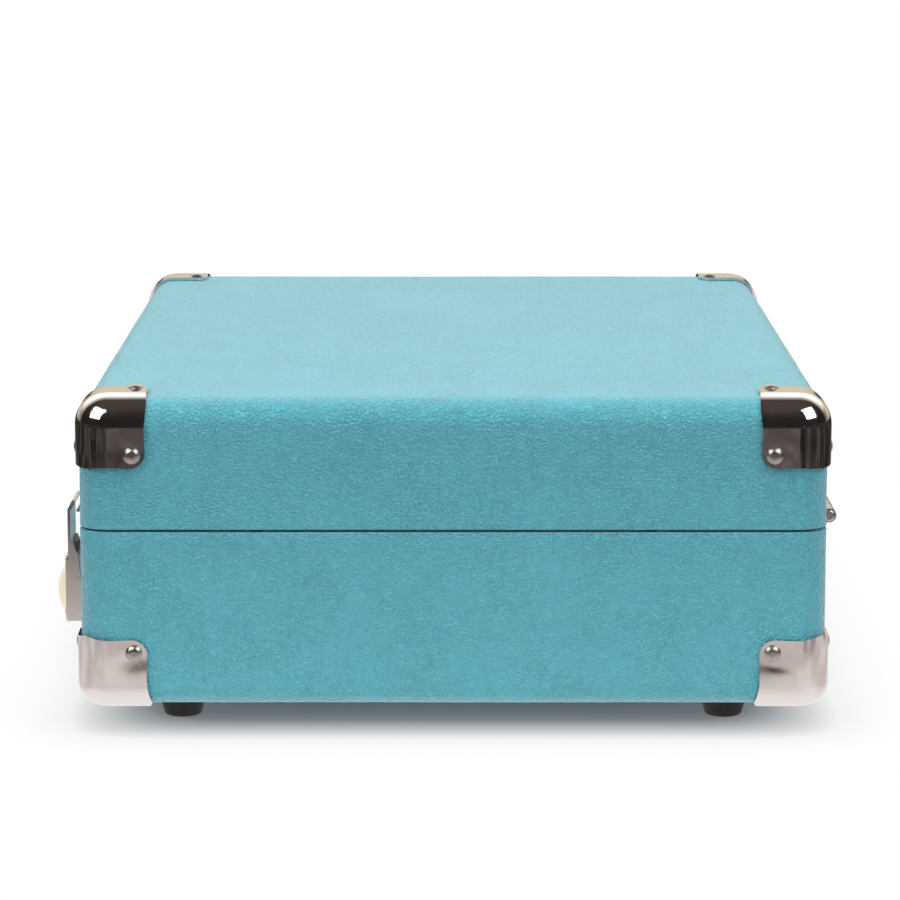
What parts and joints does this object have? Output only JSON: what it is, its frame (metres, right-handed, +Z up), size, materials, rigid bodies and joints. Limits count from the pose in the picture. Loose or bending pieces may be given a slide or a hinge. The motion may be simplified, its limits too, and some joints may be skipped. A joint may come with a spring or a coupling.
{
  "type": "suitcase record player",
  "caption": "Portable record player in a latched carrying case: hinged lid, chrome corner guards, draw latches, cream handle and rubber feet, with belt-driven platter and tonearm inside.",
  "frame": {"origin": "on the table plane, directly under the centre of the wooden case", "axes": "+Z up, +X along the length of the case, -Y is the front with the handle and latches, +Y is the hinge side"},
  "size_m": [0.3612, 0.2965, 0.1246],
  "materials": {
    "leatherette": "pebbled, satin",
    "case_wood": "bare plywood",
    "liner": "woven",
    "chrome": "bright plated",
    "nickel": "nickel plated",
    "feet_rubber": "matte",
    "handle_cream": "satin",
    "deck_black": "fine texture",
    "platter_metal": "turned",
    "mat_rubber": "grooved",
    "belt_rubber": "ground",
    "bronze": "turned",
    "zinc": "zinc plated",
    "cone_paper": "pressed paper fibre",
    "board_green": "solder mask",
    "component_black": "moulded",
    "arm_black": "moulded",
    "cartridge_red": "moulded",
    "stylus_white": "moulded",
    "wire_red": "sleeved"
  },
  "bodies": {
    "base": {"base_box": "case_wood", "base_wrap": "leatherette", "base_corner_guards": "chrome", "base_corner_nails": "chrome", "rubber_feet": "feet_rubber", "foot_screws": "zinc", "deck_cleats": "case_wood", "deck_plate": "deck_black", "deck_screws": "nickel", "spindle_bearing": "bronze", "drive_motor": "zinc", "drive_belt": "belt_rubber", "speaker_frames": "zinc", "speaker_cones": "cone_paper", "amplifier_board": "board_green", "board_components": "component_black", "jack_panel": "deck_black", "line_out_jacks": "bronze", "headphone_jack": "nickel", "power_jack": "component_black", "wiring": "wire_red", "arm_rest": "arm_black", "tonearm_base": "arm_black", "volume_pot": "zinc", "speed_switch": "component_black", "latch_plates": "nickel", "handle_brackets": "nickel", "hinge_lower_leaves": "nickel", "hinge_pins": "nickel", "base_rivets": "nickel"},
    "lid": {"lid_box": "case_wood", "lid_wrap": "leatherette", "lid_liner": "liner", "lid_corner_guards": "chrome", "lid_corner_nails": "chrome", "latch_strikes": "nickel", "hinge_upper_leaves": "nickel", "lid_bumpers": "feet_rubber", "lid_rivets": "nickel"},
    "platter": {"platter": "platter_metal", "platter_mat": "mat_rubber", "spindle": "nickel"},
    "pulley": {"motor_pulley": "bronze"},
    "tonearm_yaw": {"tonearm_gimbal": "zinc"},
    "tonearm_pitch": {"tonearm_tube": "arm_black", "headshell": "arm_black", "cartridge": "cartridge_red", "stylus": "stylus_white", "counterweight": "zinc"},
    "volume": {"volume_knob": "handle_cream"},
    "speed": {"speed_selector": "handle_cream"},
    "lever_left": {"latch_lever_left": "nickel"},
    "lever_right": {"latch_lever_right": "nickel"},
    "hasp_left": {"latch_hasp_left": "nickel"},
    "hasp_right": {"latch_hasp_right": "nickel"},
    "handle": {"handle_grip": "handle_cream", "handle_links": "nickel"}
  },
  "joints": [
    {"name": "lid_open", "type": "hinge", "parent": "base", "child": "lid", "pos_m": [0, 0.1364, 0.0748], "axis": [-1, 0, 0], "range_deg": [0, 95]},
    {"name": "latch_lever_left", "type": "hinge", "parent": "base", "child": "lever_left", "pos_m": [-0.138, -0.1371, 0.058], "axis": [-1, 0, 0], "range_deg": [0, 100]},
    {"name": "latch_hasp_left", "type": "hinge", "parent": "lever_left", "child": "hasp_left", "pos_m": [-0.138, -0.1371, 0.051], "axis": [1, 0, 0], "range_deg": [0, 100]},
    {"name": "latch_lever_right", "type": "hinge", "parent": "base", "child": "lever_right", "pos_m": [0.138, -0.1371, 0.058], "axis": [-1, 0, 0], "range_deg": [0, 100]},
    {"name": "latch_hasp_right", "type": "hinge", "parent": "lever_right", "child": "hasp_right", "pos_m": [0.138, -0.1371, 0.051], "axis": [1, 0, 0], "range_deg": [0, 100]},
    {"name": "handle_swing", "type": "hinge", "parent": "base", "child": "handle", "pos_m": [0, -0.14, 0.05], "axis": [-1, 0, 0], "range_deg": [0, 120]},
    {"name": "platter_spin", "type": "hinge", "parent": "base", "child": "platter", "pos_m": [-0.06, 0.018, 0.07], "axis": [0, 0, 1], "continuous": true},
    {"name": "pulley_spin", "type": "hinge", "parent": "base", "child": "pulley", "pos_m": [-0.018, -0.05475, 0.061], "axis": [0, 0, 1], "continuous": true},
    {"name": "tonearm_swing", "type": "hinge", "parent": "base", "child": "tonearm_yaw", "pos_m": [0.1, 0.082, 0.07], "axis": [0, 0, -1], "range_deg": [0, 51]},
    {"name": "tonearm_lift", "type": "hinge", "parent": "tonearm_yaw", "child": "tonearm_pitch", "pos_m": [0.1, 0.082, 0.085], "axis": [-1, 0, 0], "range_deg": [0, 6]},
    {"name": "volume_turn", "type": "hinge", "parent": "base", "child": "volume", "pos_m": [0.146, -0.036, 0.07], "axis": [0, 0, -1], "range_deg": [0, 300]},
    {"name": "speed_select", "type": "hinge", "parent": "base", "child": "speed", "pos_m": [0.146, 0.022, 0.069], "axis": [0, 0, 1], "range_deg": [-25, 25]}
  ],
  "couplings": [
    {"joint": "latch_hasp_left", "follows": "latch_lever_left", "ratio": 1},
    {"joint": "latch_hasp_right", "follows": "latch_lever_right", "ratio": 1},
    {"joint": "pulley_spin", "follows": "platter_spin", "ratio": 13.684}
  ]
}
